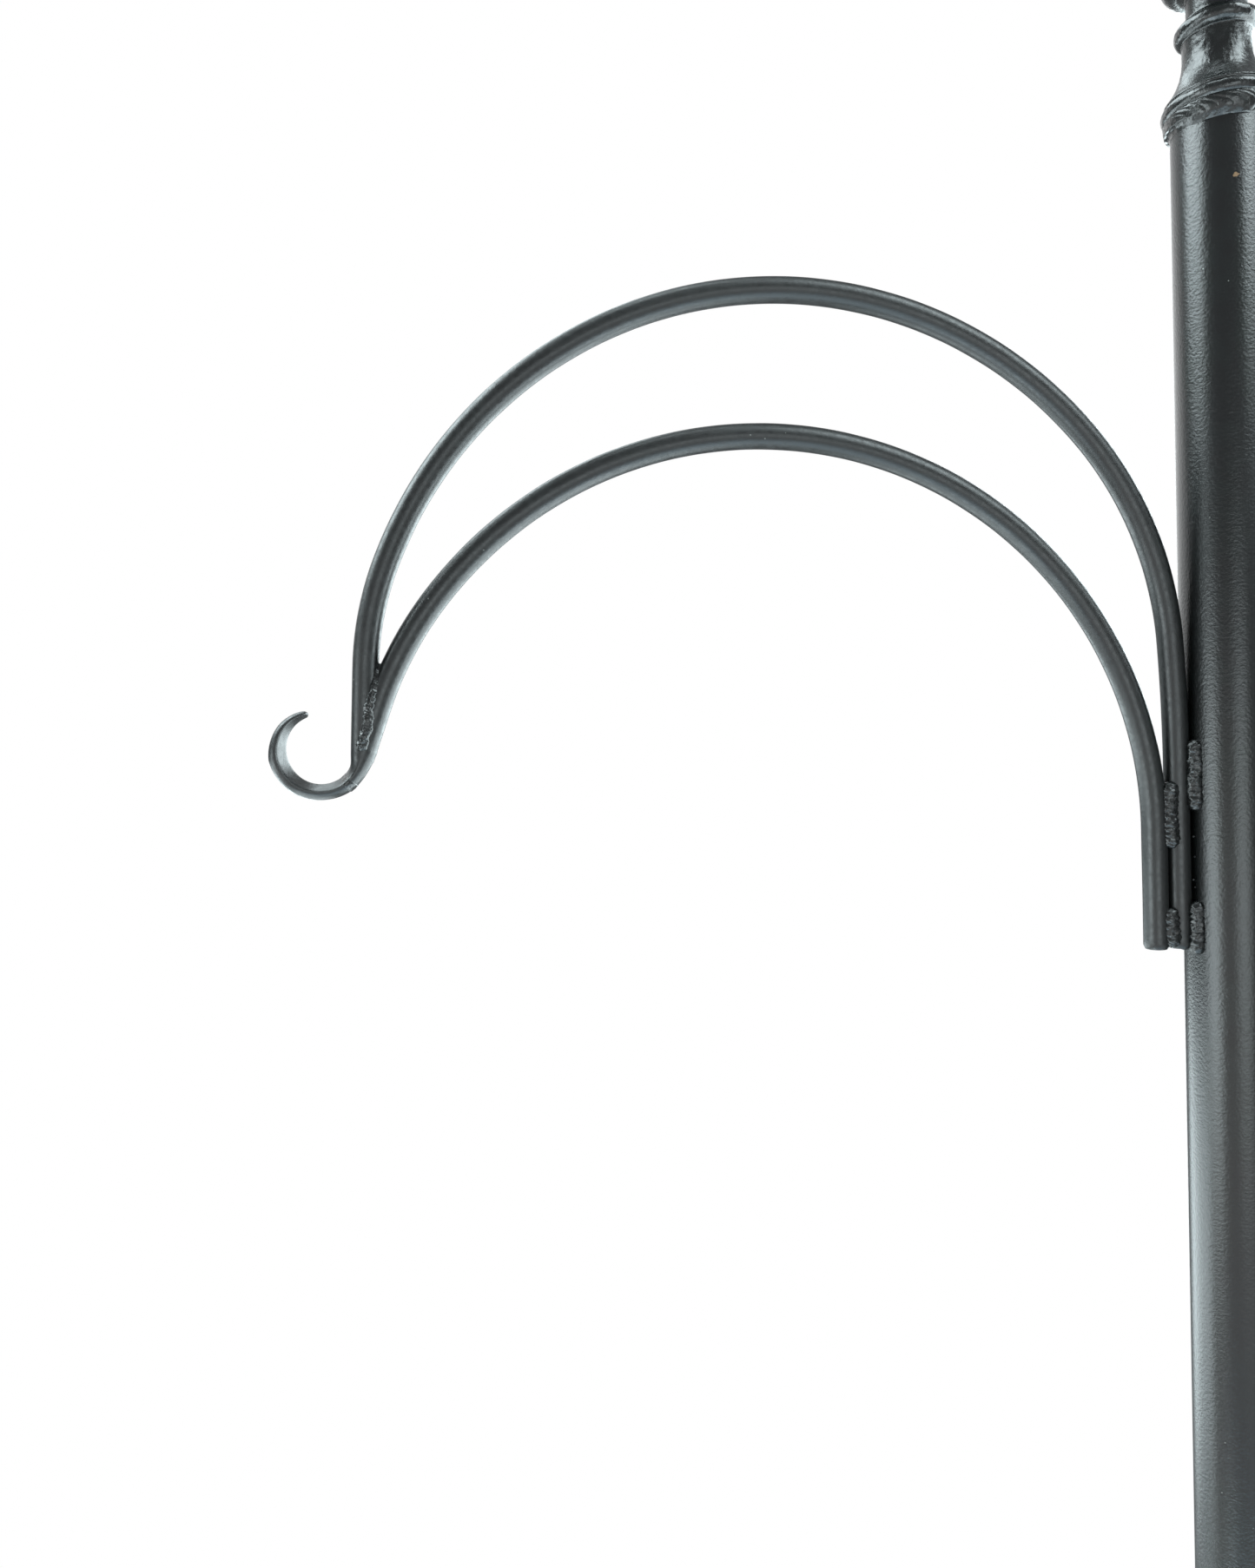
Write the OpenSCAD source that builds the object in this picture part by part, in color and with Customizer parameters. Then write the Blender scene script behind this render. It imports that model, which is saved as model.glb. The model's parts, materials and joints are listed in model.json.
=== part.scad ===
// Bird feeder pole with two welded hook arms, a cast finial and a bolt-down base.
// Millimetres, +Z up. The origin is on the pole's axis at the underside of the base plate.
// The left arm points along -X and the right arm along +X.

/* [Pole] */
// Outside diameter of the pole tubes
pole_d = 33.4; // [32:0.1:35]
// Wall thickness of the pole tubes
pole_wall = 2; // [1.5:0.1:3]
// Length of each pole section
section_len = 915; // [700:5:1200]
// Length of the reduced neck on the lower section
neck_len = 75; // [50:1:100]
// Gap all round between the neck and the upper section
neck_gap = 0.3; // [0.2:0.05:0.5]

/* [Arm rods] */
// Diameter of the round bar of the arms
rod_d = 9.5; // [8:0.1:10]
// Distance from the rods' lower ends to the top of the pole tube
arm_drop = 318.3; // [310:0.1:340]
// Radius of the upper rod's main arc, to the middle of the bar
upper_r = 158.8; // [157:0.1:160]
// Distance of the upper arc's centre from the pole axis
upper_x = 176.3; // [175:0.1:178]
// Height of the upper arc's centre above the rods' lower ends
upper_z = 96.8; // [90:0.1:100]
// Height above its lower end at which the upper rod starts to leave the pole
flare_z = 72; // [66:1:78]
// Radius of the slow bend there
flare_r = 690; // [660:5:720]
// Angle of that slow bend
flare = 4; // [3.6:0.1:4]
// Angle from the level at which the pole end's tighter bend meets the upper rod's main arc
upper_root_angle = 41; // [38:1:44]
// Angle from the level at which the hook end's tighter bend meets it
upper_tip_angle = 22; // [21:1:24]
// Radius of the lower rod's arc, to the middle of the bar
lower_r = 154.7; // [153:0.1:156]
// Height of the lower arc's centre above the rods' lower ends
lower_z = 47.3; // [45:0.1:50]
// Radius of the tighter bend at the hook end of the lower rod
lower_tip_r = 135; // [125:1:145]
// Angle from the level at which that bend starts
lower_tip_angle = 36; // [34:1:38]
// Lean of the lower rod's straight end from the vertical
lower_lean = 21; // [20:0.5:22]

/* [Hook] */
// Distance of the hook's centre from the pole axis
hook_x = 349.6; // [348.5:0.1:350.5]
// Height of the hook's centre above the rods' lower ends
hook_z = 91.3; // [90:0.1:92]
// Inside radius of the hook
hook_in_r = 11.1; // [10.5:0.1:12]
// Lean of the upper rod from the vertical where it meets the hook
tip_lean = 4; // [3:0.5:5]
// Angle past the level at which the hook is welded to the rod
rod_turn = 50; // [45:1:55]
// Angle of the whole hook, from the rod's end to the tip
hook_turn = 206; // [190:1:210]
// Thickness of the hook bar where it leaves the rod
hook_t = 6.5; // [5:0.1:7]
// Thickness of the hook's underside, where it is drawn out most
hook_thin_t = 5.8; // [5:0.1:6.5]
// Thickness at the hook's far side
hook_far_t = 7; // [6:0.1:7.5]
// Width of the hook bar where it leaves the rod
hook_w = 9; // [7:0.1:9.5]
// Thickness of the hook at its tip
hook_tip_t = 2.2; // [1.8:0.1:3]
// Width of the hook at its tip
hook_tip_w = 6; // [4:0.1:7]

/* [Finial] */
// Largest radius of the collar on the tube
collar_r = 20; // [19:0.1:21]
// Radius of the neck above the collar
neck_r = 12.1; // [11.5:0.1:12.5]
// Largest radius of the ring above the neck
ring_r = 14.9; // [14:0.1:15.5]
// Radius of the slim part above the ring
waist_r = 10.6; // [10:0.1:11]
// Largest radius of the big bead
bead_r = 19.8; // [19:0.1:21]
// Radius of the ball
ball_r = 19; // [17:0.5:20]

/* [Base] */
// Side of the square base plate
plate_w = 200; // [180:5:240]
// Thickness of the base plate
plate_t = 6; // [5:0.5:8]
// Distance between the bolt holes
bolt_pitch = 160; // [140:5:165]
// Diameter of the bolt holes
bolt_d = 11; // [9:0.5:13]
// Outside diameter of the socket tube
socket_d = 42.4; // [42:0.1:44]
// Inside diameter of the socket tube
socket_bore = 34.4; // [34.2:0.1:34.6]
// Height of the socket tube
socket_h = 150; // [120:5:180]
// Height of the locking screws above the base plate
lock_z = 118; // [100:1:125]
// Diameter of the locking screws
lock_d = 8; // [6:1:10]

/* [Welds] */
// Radius of the weld beads along the rods
weld_r = 2.6; // [2.2:0.1:3]
// Lower and upper end of the upper weld between rod and pole
pole_weld_hi = [54, 82];
// Lower and upper end of the lower weld between rod and pole
pole_weld_lo = [-2.4, 19];
// Lower and upper end of the upper weld between the rods
rod_weld_hi = [39.5, 66];
// Lower and upper end of the lower weld between the rods
rod_weld_lo = [0.2, 16.5];

/* [Hidden] */
$fn = 64;

coat = [0.16, 0.18, 0.18];
coat_cast = [0.13, 0.15, 0.15];
coat_weld = [0.2, 0.21, 0.2];
zinc = [0.62, 0.63, 0.64];

pole_r = pole_d / 2;
pole_in_r = pole_r - pole_wall;
rod_r = rod_d / 2;

// Heights
foot_gap = 0.2;
foot_t = 3;
tube_lo_z = plate_t + foot_gap + foot_t;
swage_len = 8;
shoulder_z = tube_lo_z + section_len - neck_len - swage_len;
joint_gap = 0.4;
lower_neck_r = pole_in_r - neck_gap;
// The upper tube's inner edge stops on the cone just below the neck
tube_hi_z = shoulder_z + swage_len + joint_gap;
top_z = tube_hi_z + section_len;
arm_z = top_z - arm_drop;

// The two straight runs of bar lie side by side against the pole
root_u = pole_r + rod_r;
root_v = pole_r + 3 * rod_r;

function unit(a) = [cos(a), sin(a)];
upper_c = [upper_x, upper_z];
lower_c = [root_v + lower_r, lower_z];

// Radius of a bend inside an arc (centre c, radius r) that leaves it at angle a and is tangent
// to the straight line through p whose normal has angle b
function joining_r(c, r, a, p, b) = ((p - c) * unit(b) - r * cos(a - b)) / (1 - cos(a - b));

// The upper rod leaves the pole in a slow bend, and joins its main arc in a tighter one
flare_c = [root_u + flare_r, flare_z];
flare_end = flare_c + flare_r * unit(180 - flare);
root_bend_r = joining_r(upper_c, upper_r, 180 - upper_root_angle, flare_end, 180 - flare);
root_bend_c = upper_c + (upper_r - root_bend_r) * unit(180 - upper_root_angle);

// At its other end a tighter bend leads into a straight end that leans to the hook
rod_end = [hook_x, hook_z] + (hook_in_r + rod_r) * unit(180 + tip_lean);
tip_bend_r = joining_r(upper_c, upper_r, upper_tip_angle, rod_end, tip_lean);
tip_bend_c = upper_c + (upper_r - tip_bend_r) * unit(upper_tip_angle);

// The lower rod also ends in a tighter bend and a straight end
lower_bend_c = lower_c + (lower_r - lower_tip_r) * unit(lower_tip_angle);
lower_bend_end = lower_bend_c + lower_tip_r * unit(lower_lean);

// ---------- helpers ----------

// Stands an arm drawn in plan (X outward from the pole, Y up) in the XZ plane, pointing to -X
module left_arm() { translate([0, 0, arm_z]) mirror([1, 0, 0]) rotate([90, 0, 0]) children(); }
module right_arm() { mirror([1, 0, 0]) left_arm() children(); }

// Straight vertical bar
module bar_run(x, y0, y1)
    translate([x, y0, 0]) rotate([-90, 0, 0]) cylinder(r = rod_r, h = y1 - y0, $fn = 48);

// Tube along Z
module tube(r_out, r_in, z0, z1)
    translate([0, 0, z0]) difference() {
        cylinder(r = r_out, h = z1 - z0, $fn = 96);
        translate([0, 0, -1]) cylinder(r = r_in, h = z1 - z0 + 2, $fn = 96);
    }

// Bead with round ends, drawn along Y
module bead(x, y0, y1, z, r)
    translate([x, 0, z]) {
        translate([0, y0 + r, 0]) rotate([-90, 0, 0]) cylinder(r = r, h = y1 - y0 - 2 * r, $fn = 32);
        for (y = [y0 + r, y1 - r]) translate([0, y, 0]) sphere(r = r, $fn = 32);
    }

// Points of an arc about [cx, cy]
function arc(cx, cy, r, a0, a1, n) =
    [for (i = [0 : n]) let (a = a0 + (a1 - a0) * i / n) [cx + r * cos(a), cy + r * sin(a)]];

// Stations [x, y, direction] along a bend about c, without its first one
function bend(c, r, a0, a1, n) =
    [for (i = [1 : n]) let (a = a0 + (a1 - a0) * i / n, p = c + r * unit(a)) [p.x, p.y, a]];

// Oval ring of points round a station, t thick in the arm's plane and w wide across it
function oval(station, t, w, sides) =
    [for (j = [0 : sides - 1]) let (b = 360 * j / sides, r = t / 2 * cos(b))
        [station.x + r * cos(station.z), station.y + r * sin(station.z), w / 2 * sin(b)]];

// Solid bar through a list of rings
module swept(rings) {
    n = len(rings[0]);
    last = (len(rings) - 1) * n;
    sides = [for (i = [0 : len(rings) - 2], j = [0 : n - 1])
        [i * n + j, i * n + (j + 1) % n, (i + 1) * n + (j + 1) % n, (i + 1) * n + j]];
    caps = [[for (j = [n - 1 : -1 : 0]) j], [for (j = [0 : n - 1]) last + j]];
    polyhedron([for (ring = rings) each ring], concat(sides, caps), convexity = 8);
}

// ---------- arms, drawn in plan ----------

// The upper rod runs up the pole, over the arch and down, and turns into the hook, where it thins
bar_sides = 24;
turn_steps = 12;
root_angle = 180 - upper_root_angle;
over_path = concat(
    [[root_u, 0, 180], [root_u, flare_z, 180]],
    bend(flare_c, flare_r, 180, 180 - flare, 4),
    bend(root_bend_c, root_bend_r, 180 - flare, root_angle, 12),
    bend(upper_c, upper_r, root_angle, upper_tip_angle, 38),
    bend(tip_bend_c, tip_bend_r, upper_tip_angle, tip_lean, 6),
    [[rod_end.x, rod_end.y, tip_lean]]);
function eased(s) = s * s * (3 - 2 * s);
function rod_t_at(s) = rod_d + (hook_t - rod_d) * eased(s);
function rod_w_at(s) = rod_d + (hook_w - rod_d) * eased(s);
function turn_ring(s) =
    let (a = 180 + tip_lean + (rod_turn - tip_lean) * s, r = hook_in_r + rod_t_at(s) / 2)
    oval([hook_x + r * cos(a), hook_z + r * sin(a), a - 180], rod_t_at(s), rod_w_at(s), bar_sides);

module upper_rod() color(coat)
    swept(concat([for (station = over_path) oval(station, rod_d, rod_d, bar_sides)],
        [for (i = [1 : turn_steps]) turn_ring(i / turn_steps)]));

// The lower rod's end is cut flat along the upper rod
cut_gap = 0.3;
lower_end_len = 26;
lower_end = lower_bend_end + lower_end_len * unit(lower_lean - 90);
lower_path = concat(
    [[root_v, 0, 180], [root_v, lower_z, 180]],
    bend(lower_c, lower_r, 180, lower_tip_angle, 36),
    bend(lower_bend_c, lower_tip_r, lower_tip_angle, lower_lean, 5),
    [[lower_end.x, lower_end.y, lower_lean]]);
module lower_rod() color(coat) difference() {
    swept([for (station = lower_path) oval(station, rod_d, rod_d, bar_sides)]);
    translate(rod_end) rotate([0, 0, tip_lean]) translate([-rod_r - cut_gap, -40, -rod_d])
        cube([60, 200, 2 * rod_d]);
}

// The hook thins towards its tip, which is rounded and opens a little
hook_steps = 40;
hook_sides = 20;
tip_open = 1.2;
open_from = 0.3;
open_to = 0.7;
function thin(s, from) = pow(max(0, (s - from) / (1 - from)), 1.3);
// Share of the way round, and the thickness there
hook_stages = [[0, hook_t], [0.16, hook_thin_t], [0.29, hook_thin_t], [0.59, hook_far_t],
    [0.81, (hook_far_t + hook_tip_t) / 2], [1, hook_tip_t]];
function hook_t_at(s) = lookup(s, hook_stages);
function hook_w_at(s) = hook_w + (hook_tip_w - hook_w) * thin(s, 0.3);
function tip_round(s) = s > 0.96 ? sqrt(max(0.02, 1 - pow((s - 0.96) / 0.04, 2))) : 1;
function hook_ring(s) =
    let (a = 180 + rod_turn + hook_turn * s, t = hook_t_at(s), k = tip_round(s),
         open = eased(min(1, max(0, (s - open_from) / (open_to - open_from)))),
         r = hook_in_r + tip_open * open + t / 2)
    oval([hook_x + r * cos(a), hook_z + r * sin(a), a - 180], k * t, k * hook_w_at(s), hook_sides);
module hook() color(coat) swept([for (i = [0 : hook_steps]) hook_ring(i / hook_steps)]);

// Rough bead round the joint of rod and hook
module hook_weld() color(coat_weld) {
    a = 180 + rod_turn;
    r = hook_in_r + hook_t / 2;
    translate([hook_x + r * cos(a), hook_z + r * sin(a), 0]) sphere(r = 3.9, $fn = 32);
}

// Weld between the lower rod's end and the upper rod
seam_x = 327.6;
seam_span = [99, 124];
module tip_weld() color(coat_weld)
    for (side = [-1, 1]) bead(seam_x, seam_span[0], seam_span[1], side * 2.6, 1.9);

module rod_welds() color(coat_weld)
    for (side = [-1, 1], span = [rod_weld_lo, rod_weld_hi])
        difference() {
            bead((root_u + root_v) / 2, span[0], span[1], side * (rod_r - 1.3), weld_r);
            for (x = [root_u, root_v]) bar_run(x, -10, 120);
        }

module pole_welds() color(coat_weld)
    for (side = [-1, 1], span = [pole_weld_lo, pole_weld_hi])
        difference() {
            bead(pole_r - 0.4, span[0], span[1], side * (rod_r - 0.6), weld_r + 0.3);
            bar_run(root_u, -1, 120);
            translate([0, -10, 0]) rotate([-90, 0, 0]) cylinder(r = pole_r, h = 130, $fn = 96);
        }

// ---------- pole ----------

module upper_pole_tube() color(coat) tube(pole_r, pole_in_r, tube_hi_z, top_z);

module lower_pole_tube() color(coat)
    rotate_extrude($fn = 96) polygon([
        [pole_in_r, tube_lo_z], [pole_r, tube_lo_z], [pole_r, shoulder_z],
        [lower_neck_r, shoulder_z + swage_len], [lower_neck_r, shoulder_z + swage_len + neck_len],
        [lower_neck_r - pole_wall, shoulder_z + swage_len + neck_len],
        [lower_neck_r - pole_wall, shoulder_z + swage_len], [pole_in_r, shoulder_z]]);

module foot_plug() color([0.1, 0.1, 0.1]) {
    translate([0, 0, plate_t + foot_gap]) cylinder(r = pole_r, h = foot_t, $fn = 96);
    translate([0, 0, tube_lo_z]) cylinder(r = pole_in_r, h = 18, $fn = 96);
}

// Turned casting: spigot, collar, cove, neck, ring, waist, big bead, ball and button
cove_top = 25;
collar_mid = 4.2;
collar_edge = 3;
cove_lo = [collar_r - 1.1, 7.5];
cove_r = (pow(cove_top - cove_lo.y, 2) / (cove_lo.x - neck_r) + (cove_lo.x - neck_r)) / 2;
cove_end = asin((cove_top - cove_lo.y) / cove_r);
ring_mid = 33.5;
ring_edge = 3.2;
waist_lo = 38.5;
waist_hi = 47.6;
bead_mid = 55.4;
bead_edge = 6.6;
throat_r = 9;
ball_mid = 85.1;
button_z = 106.1;
module finial_casting() color(coat_cast) translate([0, 0, top_z])
    rotate_extrude($fn = 96) polygon(concat(
        [[0, -12], [pole_in_r - 0.1, -12], [pole_in_r - 0.1, 0]],
        arc(collar_r - collar_edge, collar_mid, collar_edge, -70, 60, 10),
        arc(neck_r + cove_r, cove_top, cove_r, 180 + cove_end, 180, 10),
        arc(ring_r - ring_edge, ring_mid, ring_edge, -80, 90, 12),
        [[waist_r, waist_lo], [waist_r, waist_hi]],
        arc(bead_r - bead_edge, bead_mid, bead_edge, -90, 80, 16),
        [[10.5, 63.6], [throat_r, 65.6], [throat_r, 67.1]],
        arc(0, ball_mid, ball_r, -60, 72, 24),
        [[4.6, 104.3]],
        arc(0, button_z, 5, -10, 90, 8)));

module finial_weld() color(coat_weld) translate([0, 0, top_z])
    difference() {
        rotate_extrude($fn = 96) polygon([[pole_r - 1, -6.5], [pole_r + 0.4, -6.3], [collar_r - 1.6, -2.6],
            [collar_r - 0.5, 0.2], [collar_r - 1.6, 1.2], [pole_r - 1, 0.4]]);
        translate([0, 0, -20]) cylinder(r = pole_r, h = 20, $fn = 96);
        rotate_extrude($fn = 96) polygon(concat([[0, 0], [pole_in_r, 0]],
            arc(collar_r - collar_edge, collar_mid, collar_edge, -70, 60, 10), [[0, 6]]));
    }

// ---------- base ----------

plate_corner = 15;
module base_plate() color(coat)
    difference() {
        round_plate();
        for (x = [-1, 1], y = [-1, 1])
            translate([x * bolt_pitch / 2, y * bolt_pitch / 2, -1])
                cylinder(d = bolt_d, h = plate_t + 2, $fn = 48);
    }

// Square plate with round corners
module round_plate() {
    in = plate_w / 2 - plate_corner;
    linear_extrude(plate_t) polygon([for (q = [0 : 3], i = [0 : 8])
        let (a = 90 * q + 90 * i / 8, sx = (q == 0 || q == 3) ? in : -in, sy = q < 2 ? in : -in)
        [sx + plate_corner * cos(a), sy + plate_corner * sin(a)]]);
}

module socket_tube() color(coat) difference() {
    tube(socket_d / 2, socket_bore / 2, plate_t, plate_t + socket_h);
    lock_places() translate([0, 0, 14]) cylinder(d = lock_d + 0.6, h = 12, $fn = 32);
}

module socket_weld() color(coat_weld)
    translate([0, 0, plate_t]) difference() {
        rotate_extrude($fn = 96) polygon([[socket_d / 2, 0], [socket_d / 2 + 5, 0],
            [socket_d / 2 + 3.2, 2.6], [socket_d / 2, 5]]);
        for (a = [45 : 90 : 315]) rotate([0, 0, a]) translate([0, -gusset_t / 2, -1]) cube([60, gusset_t, 10]);
    }

gusset_t = 5;
gusset_w = 42;
gusset_h = 64;
module socket_gussets() color(coat)
    for (a = [45 : 90 : 315]) rotate([0, 0, a]) translate([0, gusset_t / 2, plate_t]) rotate([90, 0, 0])
        linear_extrude(gusset_t) polygon([[socket_d / 2 + 0.05, 0], [socket_d / 2 + gusset_w, 0],
            [socket_d / 2 + gusset_w, 6], [socket_d / 2 + 6, gusset_h], [socket_d / 2 + 0.05, gusset_h]]);

// Fillet welds along both sides of each gusset's foot and upright
fillet = 3.5;
module gusset_welds() color(coat_weld)
    for (a = [45 : 90 : 315], side = [0, 1]) rotate([0, 0, a]) mirror([0, side, 0])
        translate([socket_d / 2, gusset_t / 2, plate_t]) {
            translate([6, 0, 0]) rotate([90, 0, 90])
                linear_extrude(gusset_w - 8) polygon([[0, 0], [fillet, 0], [0, fillet]]);
            translate([0, 0, 6]) linear_extrude(gusset_h - 10)
                polygon([[0.1, 0], [fillet, 0], [-0.3, fillet]]);
        }

// Two locking screws, one on each side of the socket along X; children are drawn along +Z outward
module lock_places() for (side = [-1, 1]) lock_place(side) children();
module lock_place(side) translate([0, 0, plate_t + lock_z]) rotate([0, side * 90, 0]) children();

nut_t = 7;
nut_in = socket_d / 2 - 1.2;
module lock_nuts() color(coat) lock_places() difference() {
    translate([0, 0, nut_in]) cylinder(d = 15, h = nut_t, $fn = 6);
    translate([0, 0, nut_in - 1]) cylinder(d = lock_d + 0.2, h = nut_t + 2, $fn = 48);
    rotate([0, 90, 0]) translate([0, 0, -20]) cylinder(d = socket_d, h = 40, $fn = 96);
}

screw_tip = pole_r + 0.1;
screw_len = 24;
wing_z = screw_tip + screw_len;
module lock_screw() color(zinc) {
    translate([0, 0, screw_tip]) cylinder(d = lock_d, h = screw_len, $fn = 48);
    translate([0, 0, wing_z]) cylinder(d = 13, h = 8, $fn = 48);
    for (side = [-1, 1])
        translate([0, 2, wing_z]) rotate([90, 0, 0]) linear_extrude(4)
            polygon(concat([[side * 4, 0.5], [side * 9, 1]],
                arc(side * 15, 10, 6, side > 0 ? -50 : 230, side > 0 ? 130 : 50, 12),
                [[side * 4, 7.5]]));
}

module left_lock_screw() lock_place(-1) lock_screw();
module right_lock_screw() lock_place(1) lock_screw();

base_plate();
socket_tube();
socket_weld();
socket_gussets();
gusset_welds();
lock_nuts();
left_lock_screw();  // lock_screw_left
right_lock_screw();  // lock_screw_right
lower_pole_tube();
foot_plug();
upper_pole_tube();
finial_casting();
finial_weld();
left_arm() upper_rod();  // left_upper_rod
left_arm() lower_rod();  // left_lower_rod
left_arm() hook();  // left_hook
left_arm() hook_weld();  // left_hook_weld
left_arm() tip_weld();  // left_tip_weld
left_arm() rod_welds();  // left_rod_welds
left_arm() pole_welds();  // left_pole_welds
right_arm() upper_rod();  // right_upper_rod
right_arm() lower_rod();  // right_lower_rod
right_arm() hook();  // right_hook
right_arm() hook_weld();  // right_hook_weld
right_arm() tip_weld();  // right_tip_weld
right_arm() rod_welds();  // right_rod_welds
right_arm() pole_welds();  // right_pole_welds
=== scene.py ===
"""Looks of a garden feeder pole: welded hook arms, a cast finial, two tube sections and a bolt-down base.

Shapes are worked out in millimetres in the CAD model's frame and become metres when a mesh is made.
"""

import json
import math

import bmesh
import bpy
import numpy as np
from mathutils import Matrix, Vector, noise


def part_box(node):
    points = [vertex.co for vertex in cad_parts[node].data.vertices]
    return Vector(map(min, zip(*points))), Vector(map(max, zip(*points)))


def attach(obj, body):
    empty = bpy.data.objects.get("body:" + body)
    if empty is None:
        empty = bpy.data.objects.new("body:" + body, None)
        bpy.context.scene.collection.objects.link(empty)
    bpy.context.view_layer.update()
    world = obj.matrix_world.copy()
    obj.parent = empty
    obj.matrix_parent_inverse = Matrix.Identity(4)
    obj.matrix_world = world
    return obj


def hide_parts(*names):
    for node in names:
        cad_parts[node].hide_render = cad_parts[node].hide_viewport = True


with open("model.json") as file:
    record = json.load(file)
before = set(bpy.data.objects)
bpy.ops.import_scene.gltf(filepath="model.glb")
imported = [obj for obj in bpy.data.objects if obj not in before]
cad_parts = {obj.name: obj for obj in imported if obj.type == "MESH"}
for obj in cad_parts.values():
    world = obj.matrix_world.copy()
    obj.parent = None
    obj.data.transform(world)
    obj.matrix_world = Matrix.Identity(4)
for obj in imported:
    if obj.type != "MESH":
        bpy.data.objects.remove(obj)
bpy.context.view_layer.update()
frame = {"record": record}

MM = 0.001


def low(node):
    """Lowest corner of a CAD node's box, in millimetres."""
    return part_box(node)[0] / MM


def high(node):
    """Highest corner of a CAD node's box, in millimetres."""
    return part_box(node)[1] / MM


# ---------- sizes, from the frame and the design ----------

# Radii, heights and lengths are in millimetres and angles in degrees
POLE_R = high("upper_pole_tube").x
POLE_WALL = 2.0
TOP_Z = high("upper_pole_tube").z
JOINT_Z = low("upper_pole_tube").z
FOOT_Z = low("lower_pole_tube").z
NECK_TOP_Z = high("lower_pole_tube").z
NECK_LEN = 75.0
SWAGE_LEN = 8.0
NECK_GAP = 0.3
ARM_Z = low("left_upper_rod").z
PLATE_T = high("base_plate").z
PLATE_W = 2 * high("base_plate").x
SOCKET_R = high("socket_tube").x
SOCKET_TOP_Z = high("socket_tube").z
SOCKET_BORE_R = 17.2
LOCK_Z = (low("lock_nuts").z + high("lock_nuts").z) / 2

# Points on an arm are (outward, up), from the pole's axis and from the height of the rods' lower ends
ROD_R = 4.75
ROOT_U = POLE_R + ROD_R
ROOT_V = POLE_R + 3 * ROD_R
UPPER_C, UPPER_R = np.array([176.3, 96.8]), 158.8
FLARE_Z, FLARE_R, FLARE = 72.0, 690.0, 4.0
ROOT_ANGLE, TIP_ANGLE, TIP_LEAN = 41.0, 22.0, 4.0
LOWER_C, LOWER_R = np.array([ROOT_V + 154.7, 47.3]), 154.7
LOWER_TIP_R, LOWER_TIP_ANGLE, LOWER_LEAN, LOWER_END = 135.0, 36.0, 21.0, 26.0
HOOK_C, HOOK_IN_R = np.array([349.6, 91.3]), 11.1
ROD_TURN, HOOK_TURN = 50.0, 206.0
HOOK_W, HOOK_TIP_W = 9.0, 6.0

# How far the hook widens towards its tip, and how far its forged inner side is set back from the bend
HOOK_OPENS = 1.2
FACE_DEPTH = 0.9

# Where the lower rod ends, as a share of the way from the upper rod's middle line out to its surface
END_REACH = 0.72


def unit(degrees):
    """Unit vectors at angles in degrees."""
    a = np.radians(degrees)
    return np.stack([np.cos(a), np.sin(a)], -1)


def joining_r(centre, radius, angle, point, lean):
    """Radius of a bend that leaves an arc at angle and is tangent to the line through point."""
    spread = math.cos(math.radians(angle - lean))
    return ((point - centre) @ unit(lean) - radius * spread) / (1 - spread)


ROD_END = HOOK_C + (HOOK_IN_R + ROD_R) * unit(180 + TIP_LEAN)


# ---------- mesh helpers ----------

def smooth_step(x, start=0.0, end=1.0):
    t = np.clip((np.asarray(x, float) - start) / (end - start), 0, 1)
    return t * t * (3 - 2 * t)


def lumps(points, size, seed=0.0):
    """Smooth noise from about -1 to 1 at each point, with features of about size."""
    return np.array([noise.noise(Vector(p) / size + Vector((seed, 2 * seed, 0))) for p in points])


def grid_faces(rows, columns, loop_rows=False):
    """Quads between the rings of a grid of points whose columns close on themselves."""
    i = np.arange(rows if loop_rows else rows - 1)[:, None]
    j = np.arange(columns)[None, :]
    i2, j2 = (i + 1) % rows, (j + 1) % columns
    quads = np.stack([i * columns + j, i * columns + j2, i2 * columns + j2, i2 * columns + j], -1)
    return quads.reshape(-1, 4).tolist()


class Solid:
    """Closed surfaces collected into one mesh."""

    def __init__(self):
        self.points, self.faces = [], []

    def rings(self, grid, loop=False):
        """A tube through a grid of rings (rings, sides, 3), with flat ends unless it is a loop."""
        grid = np.asarray(grid, float)
        rows, columns = grid.shape[:2]
        faces = grid_faces(rows, columns, loop)
        if not loop:
            faces.append(list(range(columns))[::-1])
            faces.append([(rows - 1) * columns + j for j in range(columns)])
        start = sum(len(p) for p in self.points)
        centre = grid.reshape(-1, 3)
        a, b, c, d = (centre[[f[k] for f in faces if len(f) == 4]] for k in range(4))
        volume = np.einsum("ij,ij->i", a, np.cross(b, c) + np.cross(c, d)).sum()
        if volume < 0:
            faces = [f[::-1] for f in faces]
        self.points.append(centre)
        self.faces += [[start + v for v in f] for f in faces]
        return self

    def object(self, name, place=None, sharp=40.0):
        """One smooth object of everything collected, with creases over the angle sharp."""
        points = np.concatenate(self.points)
        faces = self.faces
        if place is not None:
            points, mirrored = place(points)
            if mirrored:
                faces = [f[::-1] for f in faces]
        mesh = bpy.data.meshes.new(name)
        mesh.from_pydata((points * MM).tolist(), [], faces)
        mesh.update()
        mesh.shade_smooth()
        mesh.set_sharp_from_angle(angle=math.radians(sharp))
        obj = bpy.data.objects.new(name, mesh)
        bpy.context.scene.collection.objects.link(obj)
        return obj


def on_arm(side):
    """Stands points drawn as (outward, across, up) on the left (-1) or right (1) arm."""
    return lambda points: (points * [side, 1, 1] + [0, 0, ARM_Z], side < 0)


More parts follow.
